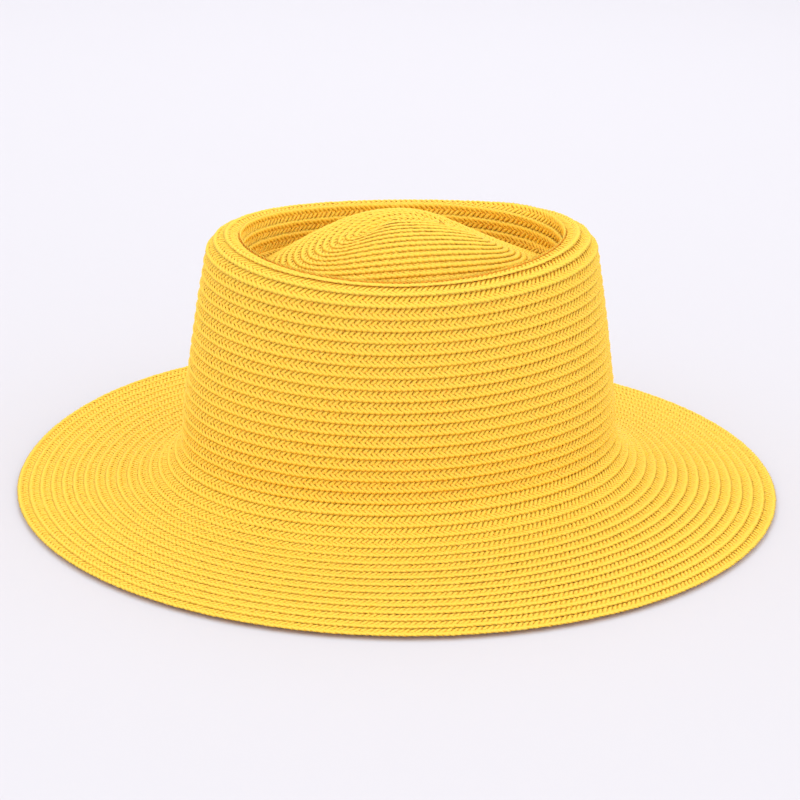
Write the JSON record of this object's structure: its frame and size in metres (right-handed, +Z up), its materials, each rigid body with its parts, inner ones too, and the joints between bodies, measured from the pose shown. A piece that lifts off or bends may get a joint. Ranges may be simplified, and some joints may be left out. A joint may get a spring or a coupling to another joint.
{
  "type": "straw braid hat with a telescope crown",
  "caption": "Summer hat of spiral-sewn paper straw braid: telescope crown with a rounded rim, a groove and a domed tip, and a wide brim that slopes down to its edge.",
  "frame": {"origin": "on the floor under the middle of the brim", "axes": "+Z up, +X along the longer way of the head opening and the brim, +Y across it"},
  "size_m": [0.3432, 0.3232, 0.1243],
  "materials": {
    "crown_straw": "matt yellow paper straw, plaited and sewn in rows",
    "brim_straw": "matt yellow paper straw, plaited and sewn in rows"
  },
  "bodies": {
    "root": {"crown_tip": "crown_straw", "crown_side": "crown_straw", "brim": "brim_straw", "brim_edge": "brim_straw"}
  },
  "joints": []
}
